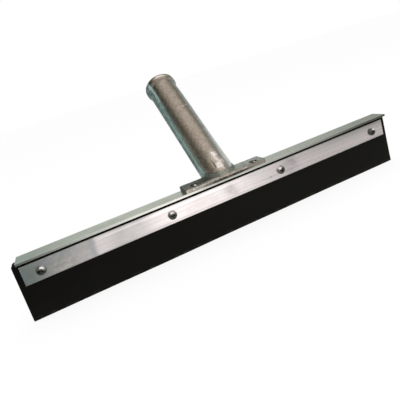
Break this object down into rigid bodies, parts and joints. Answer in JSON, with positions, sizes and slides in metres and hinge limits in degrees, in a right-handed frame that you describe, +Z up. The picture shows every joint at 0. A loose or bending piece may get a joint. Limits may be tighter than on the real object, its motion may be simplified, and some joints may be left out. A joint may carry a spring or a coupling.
{
  "type": "floor squeegee head",
  "caption": "Floor squeegee head: a black rubber blade screwed between an aluminium angle and a flat clamp strip, with a cast handle socket leaning back from the top.",
  "frame": {"origin": "middle of the rubber blade's working edge, the face that meets the floor", "axes": "+X along the blade to the right as seen from the clamp strip's side, -Y out of the clamp strip's face, +Y towards the user's side where the handle socket leans, +Z up from the floor"},
  "size_m": [0.462, 0.1714, 0.1914],
  "materials": {
    "black_rubber": "matte black",
    "satin_aluminium": "satin, drawn",
    "brushed_aluminium": "brushed along its length",
    "cast_aluminium": "rough cast and tumbled",
    "zinc_steel": "zinc plated",
    "spring_steel": "plain spring steel",
    "rivet_aluminium": "bright, set head"
  },
  "bodies": {
    "root": {"rubber_blade": "black_rubber", "angle_frame": "satin_aluminium", "clamp_strip": "brushed_aluminium", "handle_socket": "cast_aluminium", "clamp_screw_1": "zinc_steel", "clamp_screw_2": "zinc_steel", "clamp_screw_3": "zinc_steel", "clamp_screw_4": "zinc_steel", "plain_washer_1": "zinc_steel", "plain_washer_2": "zinc_steel", "plain_washer_3": "zinc_steel", "plain_washer_4": "zinc_steel", "spring_washer_1": "spring_steel", "spring_washer_2": "spring_steel", "spring_washer_3": "spring_steel", "spring_washer_4": "spring_steel", "clamp_nut_1": "zinc_steel", "clamp_nut_2": "zinc_steel", "clamp_nut_3": "zinc_steel", "clamp_nut_4": "zinc_steel", "socket_rivet_1": "rivet_aluminium", "socket_rivet_2": "rivet_aluminium"}
  },
  "joints": []
}
